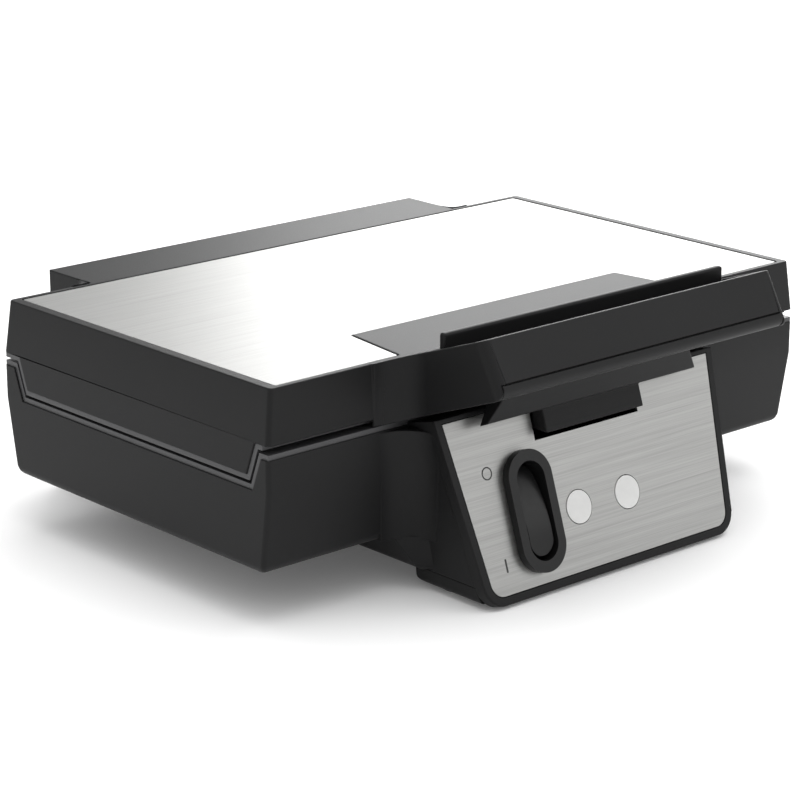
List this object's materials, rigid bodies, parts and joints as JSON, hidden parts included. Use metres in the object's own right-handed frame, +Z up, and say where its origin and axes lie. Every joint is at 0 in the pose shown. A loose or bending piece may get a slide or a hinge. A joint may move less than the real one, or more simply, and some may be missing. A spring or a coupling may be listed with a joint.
{
  "type": "waffle maker",
  "caption": "Two-waffle iron with brushed steel top, hinged lid, grip with a sprung latch, and a sloping control panel with a rocker switch and pilot lights.",
  "frame": {"origin": "on the table plane, under the middle of the overall outline", "axes": "+X to the user's right, +Y away from the user towards the hinge, +Z up"},
  "size_m": [0.285, 0.2566, 0.1086],
  "materials": {
    "black_plastic": "satin moulded black",
    "dark_inner_plastic": "matte",
    "brushed_steel": "brushed along the width",
    "non_stick_cast": "cast, dark non-stick coat",
    "element_steel": "heat-darkened sheath",
    "sheet_metal": "bright sheet",
    "zinc_screw": "zinc plated",
    "spring_steel": "spring steel",
    "lens": "clear frosted",
    "lamp_glass": "clear",
    "board": "laminate",
    "ceramic": "unglazed",
    "wire_sleeve": "woven sleeve",
    "rubber": "matte"
  },
  "bodies": {
    "base": {"base_housing": "black_plastic", "bottom_cover": "black_plastic", "cover_screws": "zinc_screw", "fascia_plate": "brushed_steel", "switch_bezel": "black_plastic", "switch_body": "dark_inner_plastic", "rocker_pin": "zinc_screw", "power_lens": "lens", "ready_lens": "lens", "pilot_lamps": "lamp_glass", "lamp_board": "board", "lower_grid_plate": "non_stick_cast", "lower_plate_screws": "zinc_screw", "lower_heating_element": "element_steel", "lower_reflector": "sheet_metal", "thermostat": "ceramic", "thermal_fuse": "ceramic", "terminal_block": "ceramic", "base_wiring": "wire_sleeve", "cord_gland": "rubber", "rubber_feet": "rubber", "hinge_pins": "zinc_screw"},
    "lid": {"lid_housing": "black_plastic", "lid_top_plate": "brushed_steel", "upper_grid_plate": "non_stick_cast", "upper_plate_screws": "zinc_screw", "upper_heating_element": "element_steel", "upper_reflector": "sheet_metal", "lid_wiring": "wire_sleeve", "handle_lower_cover": "black_plastic", "handle_screws": "zinc_screw", "latch_pin": "zinc_screw", "latch_spring": "spring_steel"},
    "latch": {"latch_lever": "black_plastic"},
    "switch": {"rocker": "black_plastic"}
  },
  "joints": [
    {"name": "lid_hinge", "type": "hinge", "parent": "base", "child": "lid", "pos_m": [0, 0.10591, 0.066], "axis": [-1, 0, 0], "range_deg": [0, 95]},
    {"name": "latch_pivot", "type": "hinge", "parent": "lid", "child": "latch", "pos_m": [0, -0.09759, 0.086], "axis": [-1, 0, 0], "range_deg": [0, 7], "stiffness_Nm_per_rad": 1.2, "springref_deg": -8.59},
    {"name": "switch_rock", "type": "hinge", "parent": "base", "child": "switch", "pos_m": [-0.0373, -0.10055, 0.03045], "axis": [1, 0, 0], "range_deg": [0, 18]}
  ]
}
